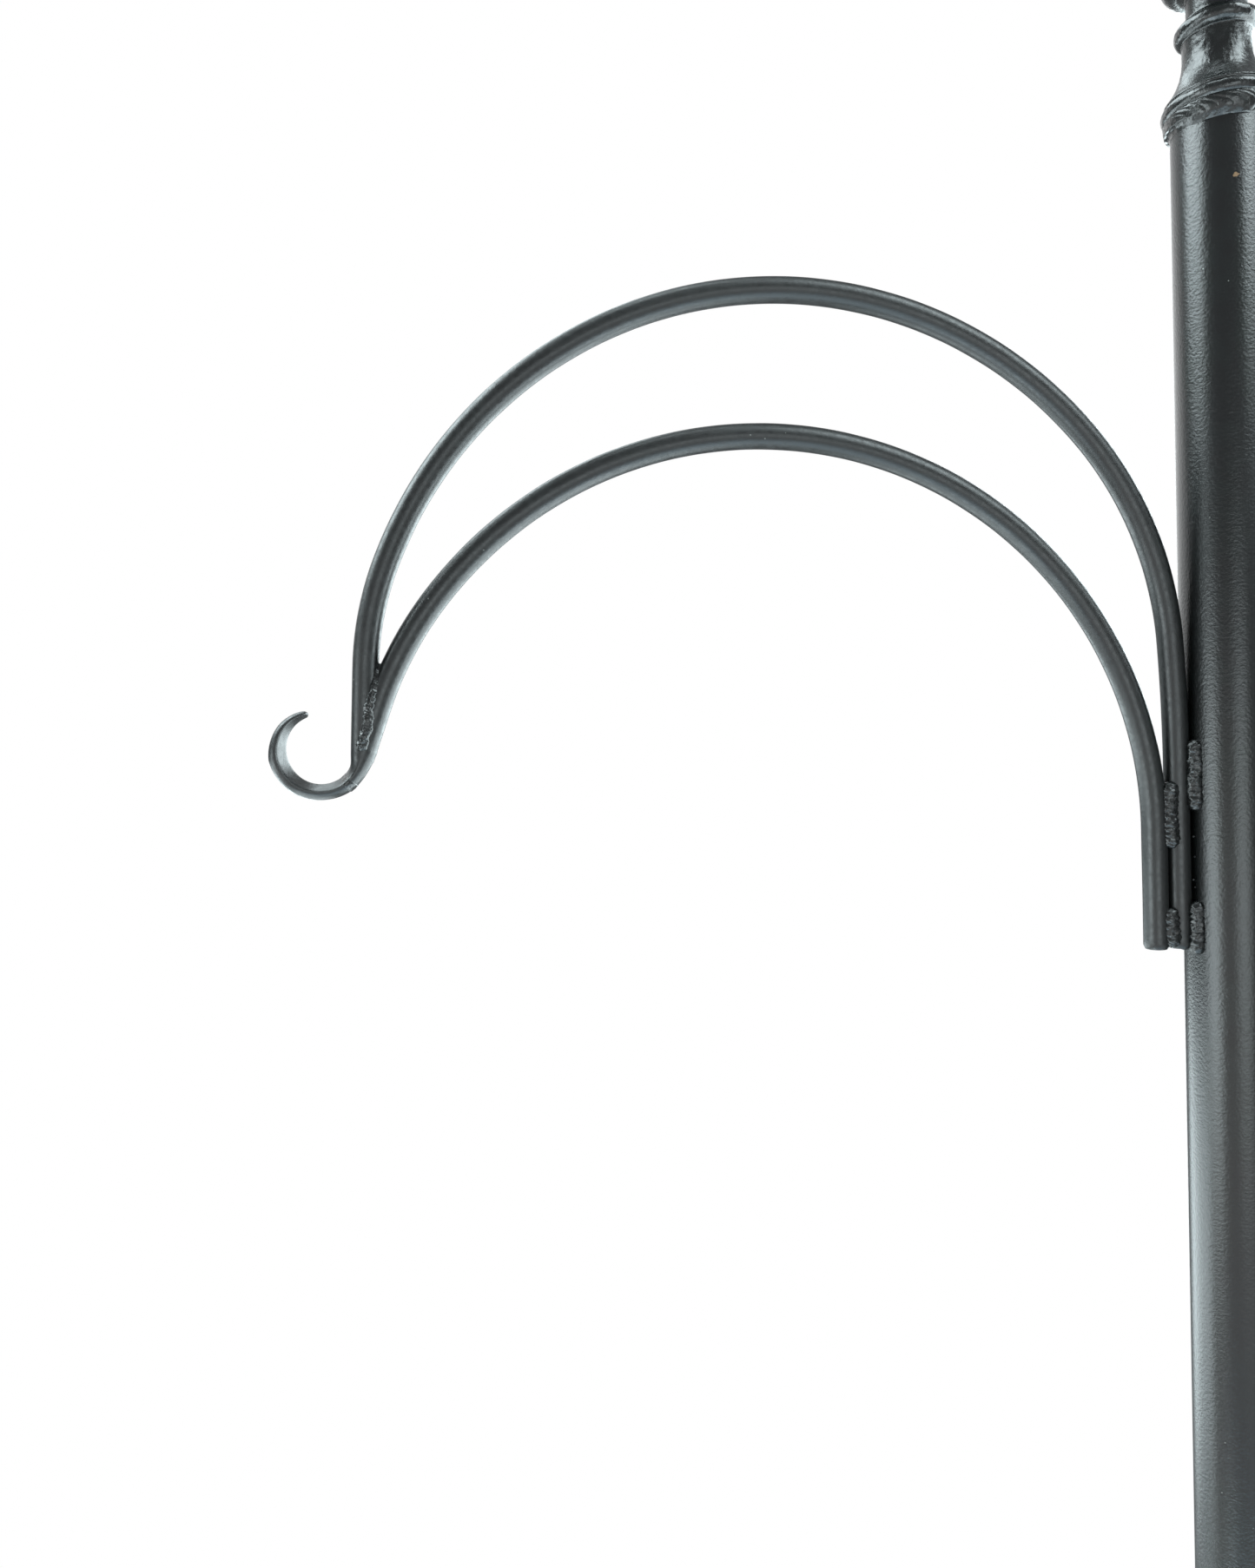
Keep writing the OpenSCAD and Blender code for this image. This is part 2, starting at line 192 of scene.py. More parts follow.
def sweep(path, across, section, loop=False):
    """Rings along a path: section (rings, sides, 2) gives the offsets beside it and across it."""
    path = np.asarray(path, float)
    if loop:
        tangent = np.roll(path, -1, 0) - np.roll(path, 1, 0)
    else:
        tangent = np.gradient(path, axis=0)
    tangent /= np.linalg.norm(tangent, axis=1)[:, None]
    beside = np.cross(tangent, np.broadcast_to(across, path.shape))
    beside /= np.linalg.norm(beside, axis=1)[:, None]
    over = np.cross(beside, tangent)
    section = np.broadcast_to(section, (len(path),) + np.shape(section)[-2:])
    return (path[:, None] + beside[:, None] * section[..., :1] + over[:, None] * section[..., 1:])


def circle(radius, sides):
    a = np.linspace(0, 2 * np.pi, sides, endpoint=False)
    return radius * np.stack([np.cos(a), np.sin(a)], -1)


def arc(x, y, r, a0, a1, count):
    """Points of an arc about (x, y) from angle a0 to a1."""
    a = np.radians(np.linspace(a0, a1, count))
    return np.stack([x + r * np.cos(a), y + r * np.sin(a)], -1).tolist()


def eased(outline, radius, closed=True, count=4):
    """An outline with its corners rounded, for the small radii that every real edge has."""
    points = np.asarray(outline, float)
    total, result = len(points), []
    for i, p in enumerate(points):
        if not closed and i in (0, total - 1):
            result.append(p)
            continue
        before, after = points[i - 1] - p, points[(i + 1) % total] - p
        lengths = np.linalg.norm(before), np.linalg.norm(after)
        cut = min(radius, 0.45 * lengths[0], 0.45 * lengths[1])
        start, end = p + before / lengths[0] * cut, p + after / lengths[1] * cut
        for t in np.linspace(0, 1, count):
            result.append((1 - t) ** 2 * start + 2 * t * (1 - t) * p + t * t * end)
    return np.array(result)


def refined(outline, step):
    """An open outline with extra points, so that none are further apart than step."""
    points, result = np.asarray(outline, float), []
    for p, q in zip(points[:-1], points[1:]):
        count = max(1, math.ceil(np.linalg.norm(q - p) / step))
        result += [p + (q - p) * i / count for i in range(count)]
    return np.array(result + [points[-1]])


def turned(outline, sides):
    """Rings of an outline of (radius, height) turned about the pole's axis."""
    outline = np.asarray(outline, float)
    a = np.linspace(0, 2 * np.pi, sides, endpoint=False)
    r, z = outline[:, :1], np.repeat(outline[:, 1:], sides, 1)
    return np.stack([r * np.cos(a), r * np.sin(a), z], -1)


def displaced(grid, amount):
    """Moves each point of a grid of turned rings out from the pole's axis by amount."""
    out = grid * [1, 1, 0]
    return grid + out / np.maximum(np.linalg.norm(out, axis=-1, keepdims=True), 1e-6) * amount[..., None]


def extruded(name, outlines, thickness, edge):
    """A plate cut to a list of closed outlines, with rounded edges; it lies in XY from z = 0 up."""
    curve = bpy.data.curves.new(name, "CURVE")
    curve.dimensions = "2D"
    curve.fill_mode = "BOTH"
    curve.extrude = (thickness / 2 - edge) * MM
    curve.bevel_depth = edge * MM
    curve.bevel_resolution = 3
    curve.offset = -edge * MM
    for outline in outlines:
        spline = curve.splines.new("POLY")
        spline.points.add(len(outline) - 1)
        for point, (x, y) in zip(spline.points, outline):
            point.co = (x * MM, y * MM, 0, 1)
        spline.use_cyclic_u = True
    drawn = bpy.data.objects.new(name, curve)
    bpy.context.scene.collection.objects.link(drawn)
    bpy.context.view_layer.update()
    mesh = bpy.data.meshes.new_from_object(drawn.evaluated_get(bpy.context.evaluated_depsgraph_get()))
    bpy.data.objects.remove(drawn)
    mesh.transform(Matrix.Translation((0, 0, thickness / 2 * MM)))
    return welded(mesh)


def welded(mesh):
    """Merges the doubled points of a mesh and turns its faces outward."""
    work = bmesh.new()
    work.from_mesh(mesh)
    bmesh.ops.remove_doubles(work, verts=work.verts, dist=1e-6)
    bmesh.ops.recalc_face_normals(work, faces=work.faces)
    work.to_mesh(mesh)
    work.free()
    return mesh


# ---------- the arms ----------

def bent(centre, radius, start, end, step=1.5):
    """Points along an arc of a bent bar, without its first one."""
    count = max(2, math.ceil(radius * math.radians(abs(end - start)) / step))
    return centre + radius * unit(np.linspace(start, end, count + 1)[1:])


def straight(start, end, step=1.5):
    """Points along a straight run of a bar, without its first one."""
    count = max(2, math.ceil(np.linalg.norm(end - start) / step))
    return start + (end - start) * np.linspace(0, 1, count + 1)[1:, None]


def upper_path():
    """The upper rod's middle line: up the pole, away from it in a slow bend, over and down."""
    foot = np.array([ROOT_U, 0.0])
    flare_c = foot + [FLARE_R, FLARE_Z]
    leaves = flare_c + FLARE_R * unit(180 - FLARE)
    root_r = joining_r(UPPER_C, UPPER_R, 180 - ROOT_ANGLE, leaves, 180 - FLARE)
    tip_r = joining_r(UPPER_C, UPPER_R, TIP_ANGLE, ROD_END, TIP_LEAN)
    root_c = UPPER_C + (UPPER_R - root_r) * unit(180 - ROOT_ANGLE)
    tip_c = UPPER_C + (UPPER_R - tip_r) * unit(TIP_ANGLE)
    return np.concatenate([
        [foot], straight(foot, foot + [0, FLARE_Z]), bent(flare_c, FLARE_R, 180, 180 - FLARE),
        bent(root_c, root_r, 180 - FLARE, 180 - ROOT_ANGLE),
        bent(UPPER_C, UPPER_R, 180 - ROOT_ANGLE, TIP_ANGLE),
        bent(tip_c, tip_r, TIP_ANGLE, TIP_LEAN), straight(tip_c + tip_r * unit(TIP_LEAN), ROD_END)])


def lower_path():
    """The lower rod's middle line, which runs on into the upper rod."""
    foot = np.array([ROOT_V, 0.0])
    bend_c = LOWER_C + (LOWER_R - LOWER_TIP_R) * unit(LOWER_TIP_ANGLE)
    bend_end = bend_c + LOWER_TIP_R * unit(LOWER_LEAN)
    return np.concatenate([
        [foot], straight(foot, foot + [0, LOWER_C[1]]), bent(LOWER_C, LOWER_R, 180, LOWER_TIP_ANGLE),
        bent(bend_c, LOWER_TIP_R, LOWER_TIP_ANGLE, LOWER_LEAN),
        straight(bend_end, bend_end + LOWER_END * unit(LOWER_LEAN - 90))])


def falling_u(path, z):
    """How far out a rod is at height z on the hook's side of its arch."""
    side = path[len(path) // 2:][::-1]
    return np.interp(z, side[:, 1], side[:, 0])


def in_plane(points):
    """(outward, up) points as (outward, across, up)."""
    return np.stack([points[:, 0], np.zeros(len(points)), points[:, 1]], -1)


BAR_SIDES = 56
CUT_END = 0.86

# The flat faces forged on the hook: which way each one faces, round the bar from its outer side, and
# how far it lies from the bar's middle as a share of the bar's radius. A higher sharpness gives
# crisper edges where they meet the round back.
INNER_FACES = ((207.6, 0.515), (115.0, 0.86))
EDGE_SHARPNESS = 14

# The hook's thickness at stages round it, by the angle about its centre
STAGE_ANGLES = (230, 263, 290, 352, 397, 436)
STAGE_THICKNESS = (6.4, 5.8, 5.8, 6.3, 4.5, 2.3)
HOOK_THICK = STAGE_THICKNESS[0]


def hook_section():
    """The hook cut across: a round back, and an inner side forged to a wide face and a narrow one behind.

    The first number of each point runs from -1 at the innermost edge to 1 at the back.
    """
    b = np.linspace(0, 360, BAR_SIDES, endpoint=False)
    total = np.ones(BAR_SIDES)
    for angle, reach in INNER_FACES:
        total += np.clip(np.cos(np.radians(b - angle)) / reach, 0, None) ** EDGE_SHARPNESS
    section = unit(b) * (total ** (-1 / EDGE_SHARPNESS))[:, None]
    thinnest, thickest = section[:, 0].min(), section[:, 0].max()
    section[:, 0] = 2 * (section[:, 0] - thinnest) / (thickest - thinnest) - 1
    return section


def curled(angle, inner, thick, wide, section):
    """Rings round the hook's centre at each angle, as (outward, across, up)."""
    out = np.stack([np.cos(np.radians(angle)), 0 * angle, np.sin(np.radians(angle))], -1)
    middle = np.array([HOOK_C[0], 0, HOOK_C[1]]) + out * (inner + thick / 2)[:, None]
    section = np.broadcast_to(section, (len(angle), BAR_SIDES, 2))
    beside = section[..., :1] * (thick / 2)[:, None, None] * out[:, None]
    return middle[:, None] + beside + section[..., 1:] * (wide / 2)[:, None, None] * np.array([0, 1, 0])


def hook_thickness(angle):
    """Thickness by the angle round the hook: drawn out, full again at the far side, thin at the tip."""
    return np.interp(angle, STAGE_ANGLES, STAGE_THICKNESS)


def cut_ends(path):
    """Sizes of the rings along a bar: its sawn end is slightly rounded."""
    return np.minimum(1, CUT_END + (1 - CUT_END) * np.arange(len(path)))


def upper_rod(side):
    """The bar that runs over the arch and turns into the hook, where it is drawn out thinner."""
    over = upper_path()
    mirrored = circle(ROD_R, BAR_SIDES) * [-1, 1]
    arch = sweep(in_plane(over), (0, 1, 0), mirrored[None] * cut_ends(over)[:, None, None])
    s = np.linspace(0, 1, 40)[1:]
    ease = smooth_step(s)
    angle = 180 + TIP_LEAN + (ROD_TURN - TIP_LEAN) * s
    thick = 2 * ROD_R + (HOOK_THICK - 2 * ROD_R) * (1 - (1 - s) ** 2)
    wide = 2 * ROD_R + (HOOK_W - 2 * ROD_R) * ease
    section = unit(np.linspace(0, 360, BAR_SIDES, endpoint=False))
    section = section + (hook_section() - section) * ease[:, None, None]
    bend = curled(angle, HOOK_IN_R + FACE_DEPTH * ease, thick, wide, section)
    grid = uneven(np.concatenate([arch, bend]), side)
    return Solid().rings(grid).object(arm_name(side, "upper_rod"), on_arm(side))


def uneven(grid, seed):
    """Bar stock is never quite true: slow waves of a few hundredths of a millimetre."""
    return roughened(grid, 0.012, 14.0, seed)


def roughened(grid, amount, size, seed):
    """Rings swelled and shrunk about their middles by noise with features of about size."""
    centre = grid.mean(1, keepdims=True)
    wave = lumps(grid.reshape(-1, 3), size, seed).reshape(grid.shape[:2] + (1,))
    return centre + (grid - centre) * (1 + amount * wave)


def lower_rod(side):
    """The bar under the arch. Its end is cut to the upper rod's round side and set into it."""
    path = lower_path()
    grid = sweep(in_plane(path), (0, 1, 0), circle(ROD_R, BAR_SIDES)[None] * cut_ends(path)[:, None, None])
    depth = (grid[..., [0, 2]] - ROD_END) @ unit(TIP_LEAN)
    station = np.arange(len(path), dtype=float)
    half = len(path) // 2
    for j in range(BAR_SIDES):
        surface = math.sqrt(max(ROD_R ** 2 - grid[half, j, 1] ** 2, 0))
        last = np.interp(-END_REACH * surface, depth[half:, j], station[half:])
        along = station * last / station[-1]
        grid[:, j] = np.stack([np.interp(along, station, grid[:, j, k]) for k in range(3)], -1)
    return Solid().rings(uneven(grid, side + 5)).object(arm_name(side, "lower_rod"), on_arm(side))


def hook(side):
    """The hook, with a round back and a bevelled inner side, thinned and rounded at its tip."""
    rounding = 0.968
    s = np.concatenate([np.linspace(-0.02, 0.965, 130), np.linspace(0.967, 1, 18)])
    drawn = np.clip(s, 0, 1)
    angle = 180 + ROD_TURN + HOOK_TURN * s
    tip = np.clip(1 - ((drawn - rounding) / (1 - rounding)).clip(0, 1) ** 2.2, 0.01, 1) ** 0.5
    thick = hook_thickness(angle)
    wide = HOOK_W + (HOOK_TIP_W - HOOK_W) * np.clip((drawn - 0.3) / 0.7, 0, 1) ** 1.3
    inner = HOOK_IN_R + FACE_DEPTH + HOOK_OPENS * smooth_step(drawn, 0.45, 1.0) + thick * (1 - tip) / 2
    grid = curled(angle, inner, thick * tip, wide * tip, hook_section())
    return Solid().rings(uneven(grid, side + 9)).object(arm_name(side, "hook"), on_arm(side))


def bead(path, across, radius, seed, pitch=2.0, ripple=0.10, ragged=0.10, sides=40, squash=1.0, loop=False):
    """A run of weld metal: overlapping ripples along a path, rounded ends and a ragged skin."""
    path = np.asarray(path, float)
    along = np.concatenate([[0], np.cumsum(np.linalg.norm(np.diff(path, axis=0), axis=1))])
    total = along[-1]
    b = np.linspace(0, 2 * np.pi, sides, endpoint=False)
    phase = along[:, None] / pitch + 0.45 * np.cos(b)[None] + 0.35 * np.sin(along / 5.0 + seed)[:, None]
    crest = np.abs(np.sin(np.pi * phase)) ** 0.5 - 0.6
    from_end = np.full(len(path), radius) if loop else np.minimum(along, total - along)
    ends = np.sqrt(np.clip(1 - (1 - from_end / radius).clip(0, 1) ** 2, 0.01, 1))
    size = ends[:, None] * radius * (1 + ripple * crest)
    section = np.stack([size * np.cos(b), size * np.sin(b) * squash], -1)
    grid = sweep(path, across, section, loop)
    flat = grid.reshape(-1, 3)
    rough = lumps(flat, 1.6, seed) + 0.6 * lumps(flat, 0.7, seed + 3)
    core = path[:, None]
    return core + (grid - core) * (1 + ragged * rough.reshape(grid.shape[:2] + (1,)))


def vertical(u, across, z0, z1, wander=0.0, seed=0.0):
    """A nearly straight vertical path with a small wander."""
    z = np.arange(z0, z1, 0.22)
    sway = wander * np.sin(z / 3.1 + seed)
    return np.stack([np.full(len(z), u) + sway, np.full(len(z), across), z], -1)


def spatter(solid, centre, radius, seed):
    """A droplet of weld metal stuck to a surface."""
    a = np.linspace(-80, 80, 9)
    drop = turned(np.stack([radius * np.cos(np.radians(a)), radius * np.sin(np.radians(a))], -1), 16)
    drop *= 1 + 0.15 * lumps(drop.reshape(-1, 3), radius, seed).reshape(drop.shape[:2] + (1,))
    solid.rings(drop + np.asarray(centre))


# Weld runs at the root as (lower end, upper end, seed), and droplets as (height, radius)
POLE_WELD_RUNS = ((54, 82, 1), (-2.4, 19, 2))
ROD_WELD_RUNS = ((39.5, 66, 4), (0.6, 16.5, 5))
SPATTER = ((44, 0.5), (36, 0.35), (27, 0.45), (24, 0.3))


def pole_welds(side):
    """Two short runs on each side of the rod, where it lies against the pole."""
    solid = Solid()
    for face in (-1, 1):
        for z0, z1, seed in POLE_WELD_RUNS:
            path = vertical(POLE_R - 0.3, face * (ROD_R - 0.3), z0, z1, 0.2, seed + face)
            solid.rings(bead(path, (0, 1, 0), 3.3, seed + 3 * face + side,
                             pitch=2.3, ragged=0.13, squash=0.78))
        for z, size in SPATTER:
            spatter(solid, (POLE_R + 0.2 + 0.3 * math.sin(z), face * (ROD_R - 1.4), z), size, z)
    return solid.object(arm_name(side, "pole_welds"), on_arm(side), 60)


def rod_welds(side):
    """Two short runs on each side, between the two rods."""
    solid = Solid()
    for face in (-1, 1):
        for z0, z1, seed in ROD_WELD_RUNS:
            path = vertical((ROOT_U + ROOT_V) / 2, face * (ROD_R - 1.9), z0, z1, 0.25, seed + face)
            solid.rings(bead(path, (0, 1, 0), 3.3, seed + 3 * face + side,
                             pitch=2.3, ripple=0.12, ragged=0.15, squash=0.75))
    return solid.object(arm_name(side, "rod_welds"), on_arm(side), 60)


def tip_weld(side):
    """The web in the crotch between the rods, and a ragged seam down each face."""
    solid = Solid()
    over, under = upper_path(), lower_path()
    z = np.arange(104, 122.6, 0.25)
    web = np.stack([(falling_u(over, z) + falling_u(under, z)) / 2 - 0.4, 0 * z, z], -1)
    solid.rings(bead(web, (0, 1, 0), 2.4, side + 20, pitch=2.4, ripple=0.05, ragged=0.07))
    for face in (-1, 1):
        z = np.arange(90.5, 121.5, 0.2)
        middle = (falling_u(over, z) + falling_u(under, z)) / 2
        apart = np.clip((falling_u(over, z) - falling_u(under, z)) / 2, 0, ROD_R)
        depth = np.sqrt(ROD_R ** 2 - apart ** 2).clip(1.2, 4.4) - 0.9
        path = np.stack([middle + 0.35 * np.sin(z / 2.3 + face), face * depth, z], -1)
        solid.rings(bead(path, (0, 1, 0), 2.3, side + 7 * face, pitch=2.2, ripple=0.08, ragged=0.16))
    return solid.object(arm_name(side, "tip_weld"), on_arm(side), 60)


def hook_weld(side):
    """A small rough bead round the bar where the hook is welded on."""
    half_width = 9.0
    s = np.linspace(-1, 1, 40)
    angle = 180 + ROD_TURN + half_width * s
    swell = (1 + 0.045 * np.cos(np.pi * s / 2)) * np.clip(1.25 * np.sqrt(1 - s ** 2), 0.86, 1)
    thick = HOOK_THICK * swell
    inner = HOOK_IN_R + FACE_DEPTH + (HOOK_THICK - thick) / 2
    grid = curled(angle, inner, thick, HOOK_W * swell, hook_section())
    grid = roughened(grid, 0.04, 1.3, side + 2.5)
    return Solid().rings(grid).object(arm_name(side, "hook_weld"), on_arm(side), 60)


def arm_name(side, piece):
    return ("left_" if side < 0 else "right_") + piece


# ---------- the pole ----------

def tube(name, outline, sides=160):
    """A tube whose wall is a closed outline of (radius, height), with eased edges."""
    return Solid().rings(turned(eased(outline, 0.5), sides), loop=True).object(name)


def upper_pole_tube():
    inner = POLE_R - POLE_WALL
    return tube("upper_pole_tube", [(inner, JOINT_Z), (POLE_R, JOINT_Z), (POLE_R, TOP_Z), (inner, TOP_Z)])


def lower_pole_tube():
    inner, neck = POLE_R - POLE_WALL, POLE_R - POLE_WALL - NECK_GAP
    neck_z = NECK_TOP_Z - NECK_LEN
    shoulder_z = neck_z - SWAGE_LEN
    return tube("lower_pole_tube", [
        (inner, FOOT_Z), (POLE_R, FOOT_Z), (POLE_R, shoulder_z), (neck, neck_z), (neck, NECK_TOP_Z),
        (neck - POLE_WALL, NECK_TOP_Z), (neck - POLE_WALL, neck_z), (inner, shoulder_z)])


def foot_plug():
    """A pressed-in plastic plug with ribs round its spigot."""
    bottom, top = low("foot_plug").z, high("foot_plug").z
    inner = POLE_R - POLE_WALL
    outline = [(0.4, bottom + 0.6), (9, bottom + 0.6), (10, bottom), (POLE_R, bottom), (POLE_R, FOOT_Z),
               (inner - 0.2, FOOT_Z)]
    for k in range(3):
        z = FOOT_Z + 2.5 + 4.5 * k
        outline += [(inner - 0.9, z), (inner, z + 1.6), (inner - 0.9, z + 2.2)]
    outline += [(inner - 1.2, top), (0.4, top)]
    return Solid().rings(turned(eased(outline, 0.4, False), 96)).object("foot_plug")


# The finial's profile: radii, rounded edges' radii, and heights above the top of the tube
COLLAR_R, COLLAR_EDGE, COLLAR_MID = 20.0, 3.0, 4.2
FINIAL_NECK_R, COVE_LOW, COVE_TOP = 12.1, (18.9, 7.5), 25.0
RING_R, RING_EDGE, RING_MID = 14.9, 3.2, 33.5
WAIST_R, WAIST_LOW, WAIST_TOP = 10.6, 38.5, 47.6
BEAD_R, BEAD_EDGE, BEAD_MID = 19.8, 6.6, 55.4
BALL_R, BALL_MID = 19.0, 85.1
BUTTON_R, BUTTON_MID = 5.0, 106.1
SPIGOT_LEN = 12.0

# Where the mould's parting line runs, and the weld's ripples and the place where its lower edge rises
PARTING_ANGLE = math.radians(-114.4)
WELD_RIPPLES = 27
RISE, RISE_ANGLE = 2.8, math.radians(150)


def finial_outline():
    """The spigot in the tube, then collar, cove, ring, waist, bead, ball and button."""
    inner = POLE_R - POLE_WALL - 0.1
    rise, run = COVE_TOP - COVE_LOW[1], COVE_LOW[0] - FINIAL_NECK_R
    cove_r = (rise ** 2 / run + run) / 2
    cove_end = math.degrees(math.asin(rise / cove_r))
    return ([[0.3, -SPIGOT_LEN], [inner, -SPIGOT_LEN], [inner, 0]]
            + arc(COLLAR_R - COLLAR_EDGE, COLLAR_MID, COLLAR_EDGE, -70, 60, 12)
            + arc(FINIAL_NECK_R + cove_r, COVE_TOP, cove_r, 180 + cove_end, 180, 14)
            + arc(RING_R - RING_EDGE, RING_MID, RING_EDGE, -80, 90, 14)
            + [[WAIST_R, WAIST_LOW], [WAIST_R, WAIST_TOP]]
            + arc(BEAD_R - BEAD_EDGE, BEAD_MID, BEAD_EDGE, -90, 80, 18)
            + [[10.5, 63.6], [9, 65.6], [9, 67.1]]
            + arc(0, BALL_MID, BALL_R, -60, 72, 28)
            + [[4.6, 104.3]]
            + arc(0, BUTTON_MID, BUTTON_R, -10, 86, 12))


def finial_casting():
    """The turned-pattern casting, with the pebbled skin of its sand mould and a faint parting line."""
    outline = refined(eased(finial_outline(), 0.5, False, 3), 0.75) + [0, TOP_Z]
    grid = turned(outline, 260)
    flat = grid.reshape(-1, 3)
    skin = 0.10 * lumps(flat, 2.6, 1.0) + 0.07 * lumps(flat, 1.1, 2.0)
    angle = np.arctan2(grid[..., 1], grid[..., 0])
    parting = 0.12 * np.exp(-(np.sin(angle - PARTING_ANGLE) / 0.03) ** 2)
    shape = smooth_step(outline[:, 0], 0.5, 4.0)[:, None]
    grid = displaced(grid, (skin.reshape(grid.shape[:2]) - 0.08 + parting * 0.6) * shape)
    return Solid().rings(grid).object("finial_casting", sharp=60)


def finial_weld():
    """The weld between tube and collar: swirled ripples and a wavy lower edge that rises at the back."""
    outline = refined(eased([
        (POLE_R - 0.8, -6.0), (POLE_R + 0.35, -5.6), (POLE_R + 1.9, -3.2), (COLLAR_R - 1.0, -0.6),
        (COLLAR_R - 0.9, 2.0), (POLE_R - 0.8, 1.6)], 0.8), 0.3)
    sides = 460
    grid = turned(outline, sides)
    angle = np.linspace(0, 2 * np.pi, sides, endpoint=False)
    height = outline[:, 1:]
    swirl = WELD_RIPPLES * angle[None] / (2 * np.pi) + 0.09 * (height + 3) ** 2
    swirl = swirl + 0.25 * np.sin(5 * angle)[None]
    ripple = np.abs(np.sin(np.pi * swirl)) ** 0.5 - 0.6
    facing = smooth_step(outline[:, 0], POLE_R - 0.5, POLE_R + 0.6)[:, None]
    flat = grid.reshape(-1, 3)
    rough = (0.11 * lumps(flat, 1.8, 4.0) + 0.05 * lumps(flat, 0.8, 5.0)).reshape(grid.shape[:2])
    wave = 0.15 * np.sin(9 * angle + 1.0) + 0.1 * np.sin(17 * angle) + 0.12 * np.sin(27 * angle + 0.4)
    ripple = ripple * smooth_step(height, -6.2, -4.4)
    grid = displaced(grid, (0.20 * ripple + rough) * facing)
    wave = wave + RISE * smooth_step(np.cos(angle - RISE_ANGLE), 0.4, 1.0)
    grid[..., 2] += TOP_Z + (wave[None] * smooth_step(-height, 1.5, 5.5) * facing)
    return Solid().rings(grid, loop=True).object("finial_weld", sharp=60)


# ---------- the base ----------

BOLT_PITCH, BOLT_R, PLATE_CORNER = 160.0, 5.5, 15.0
GUSSET_T, GUSSET_W, GUSSET_H = 5.0, 42.0, 64.0


def base_plate():
    inset = PLATE_W / 2 - PLATE_CORNER
    outline = []
    for quarter, (sx, sy) in enumerate(((1, 1), (-1, 1), (-1, -1), (1, -1))):
        outline += arc(sx * inset, sy * inset, PLATE_CORNER, 90 * quarter, 90 * quarter + 90, 14)
    bolt = BOLT_PITCH / 2
    holes = [arc(x * bolt, y * bolt, BOLT_R, 0, -352.5, 48) for x in (-1, 1) for y in (-1, 1)]
    return plain_object("base_plate", extruded("base_plate", [outline] + holes, PLATE_T, 0.7))


def plain_object(name, mesh, sharp=40.0):
    mesh.name = name
    mesh.shade_smooth()
    mesh.set_sharp_from_angle(angle=math.radians(sharp))
    obj = bpy.data.objects.new(name, mesh)
    bpy.context.scene.collection.objects.link(obj)
    return obj


def join_meshes(meshes):
    work = bmesh.new()
    for mesh in meshes:
        work.from_mesh(mesh)
    result = bpy.data.meshes.new("joined")
    work.to_mesh(result)
    work.free()
    return result


def socket_gussets():
    near, far = SOCKET_R - 0.3, SOCKET_R + GUSSET_W
    outline = [(near, 0), (far, 0), (far, 6), (SOCKET_R + 6, GUSSET_H), (near, GUSSET_H)]
    shapes = []
    for k in range(4):
        mesh = extruded("gusset", [outline], GUSSET_T, 0.6)
        upright = Matrix.Rotation(math.radians(90), 4, "X")
        seated = Matrix.Translation((0, GUSSET_T / 2 * MM, PLATE_T * MM))
        mesh.transform(Matrix.Rotation(math.radians(45 + 90 * k), 4, "Z") @ seated @ upright)
        shapes.append(mesh)
    return plain_object("socket_gussets", join_meshes(shapes))


def socket_tube():
    bore, top = SOCKET_BORE_R, SOCKET_TOP_Z
    return tube("socket_tube", [(bore, PLATE_T), (SOCKET_R, PLATE_T), (SOCKET_R, top), (bore, top)])


def spun(points, degrees):
    """Points turned about the pole's axis."""
    c, s = math.cos(math.radians(degrees)), math.sin(math.radians(degrees))
    return np.asarray(points) @ np.array([[c, s, 0], [-s, c, 0], [0, 0, 1]])


def socket_weld():
    """Fillet runs round the socket's foot, between the gussets."""
    solid = Solid()
    for k in range(4):
        a = np.radians(np.arange(-38, 38.01, 0.7) + 90 * k)
        r = SOCKET_R + 1.0
        path = np.stack([r * np.cos(a), r * np.sin(a), np.full(len(a), PLATE_T + 1.0)], -1)
        solid.rings(bead(path, (0, 0, 1), 3.2, k, pitch=2.6, ragged=0.06))
    return solid.object("socket_weld", sharp=60)


def gusset_welds():
    """Fillet runs along both sides of each gusset, at the plate and up the socket."""
    solid = Solid()
    proud, step, look = 0.4, 0.35, {"pitch": 2.4, "ragged": 0.06}
    out = np.arange(SOCKET_R + 6, SOCKET_R + GUSSET_W - 1, step)
    up = np.arange(PLATE_T + 6, PLATE_T + GUSSET_H - 2, step)
    for k in range(4):
        turn = 45 + 90 * k
        for face in (-1, 1):
            beside = face * (GUSSET_T / 2 + proud)
            path = np.stack([out, 0 * out + beside, 0 * out + PLATE_T + proud], -1)
            solid.rings(bead(spun(path, turn), (0, 0, 1), 2.4, k + 10 * face, **look))
            path = np.stack([0 * up + SOCKET_R + proud, 0 * up + beside, up], -1)
            solid.rings(bead(spun(path, turn), (math.sin(k), 1, 0), 2.2, k + 20 * face, **look))
    return solid.object("gusset_welds", sharp=60)


def outward(side):
    """Turns points drawn along +Z into the outward direction of a locking screw."""
    def place(points):
        x, y, z = points.T
        return np.stack([side * z, side * y, x + LOCK_Z], -1), False
    return place


NUT_ACROSS, NUT_IN, NUT_OUT = 15.0, 20.0, 27.0
SCREW_R, THREAD_PITCH, THREAD_DEPTH, SHANK_LEN = 4.0, 1.25, 0.65, 24.0


